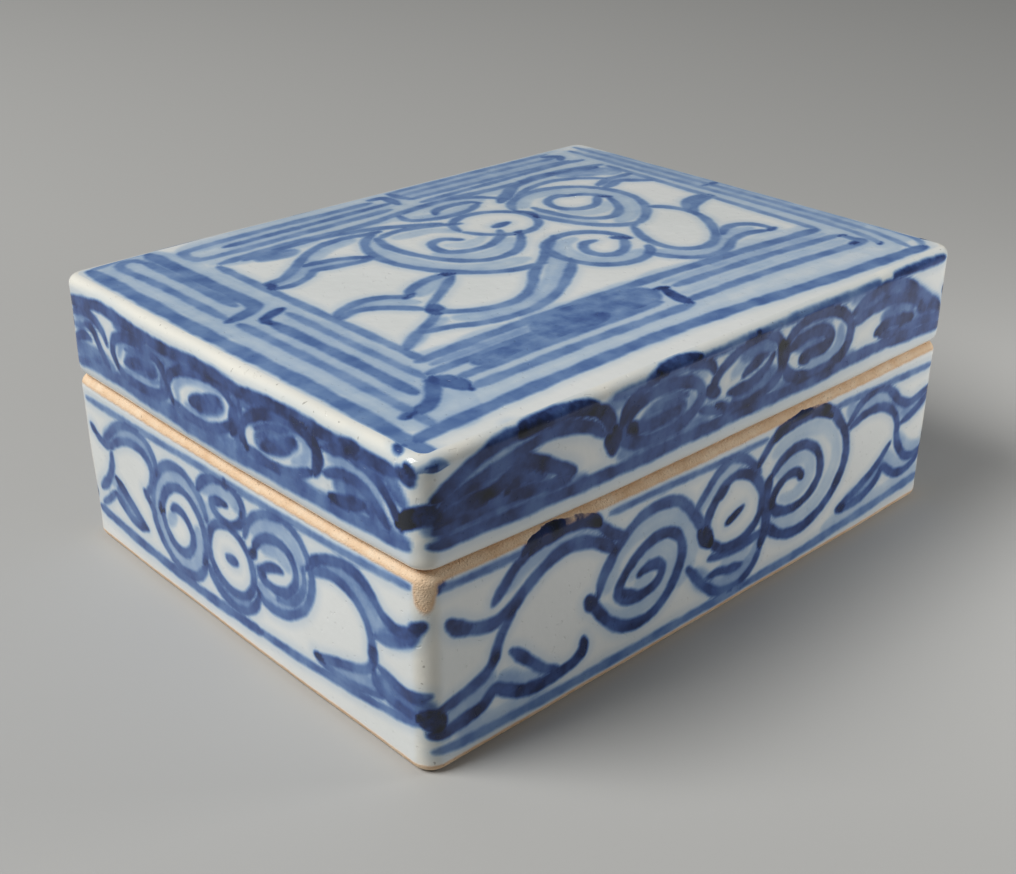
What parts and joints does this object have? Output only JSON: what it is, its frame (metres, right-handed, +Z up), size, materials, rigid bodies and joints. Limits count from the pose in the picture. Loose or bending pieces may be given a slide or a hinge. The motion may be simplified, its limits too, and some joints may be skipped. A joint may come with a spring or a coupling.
{
  "type": "porcelain trinket box",
  "caption": "Rectangular blue-and-white porcelain trinket box with a flat lift-off cover.",
  "frame": {"origin": "centre of the footprint, on the plane the foot stands on", "axes": "+X along the box's length, +Y along its width, +Z up, the way the cover lifts"},
  "size_m": [0.084, 0.064, 0.034],
  "materials": {
    "base_porcelain": "glossy clear glaze over cobalt painting, bare biscuit on seat and foot",
    "cover_porcelain": "glossy clear glaze over cobalt painting, bare biscuit on the rim"
  },
  "bodies": {
    "base": {"base": "base_porcelain"},
    "cover": {"cover": "cover_porcelain"}
  },
  "joints": [
    {"name": "cover_lift", "type": "slide", "parent": "base", "child": "cover", "axis": [0, 0, 1], "range_m": [0, 0.06]}
  ]
}
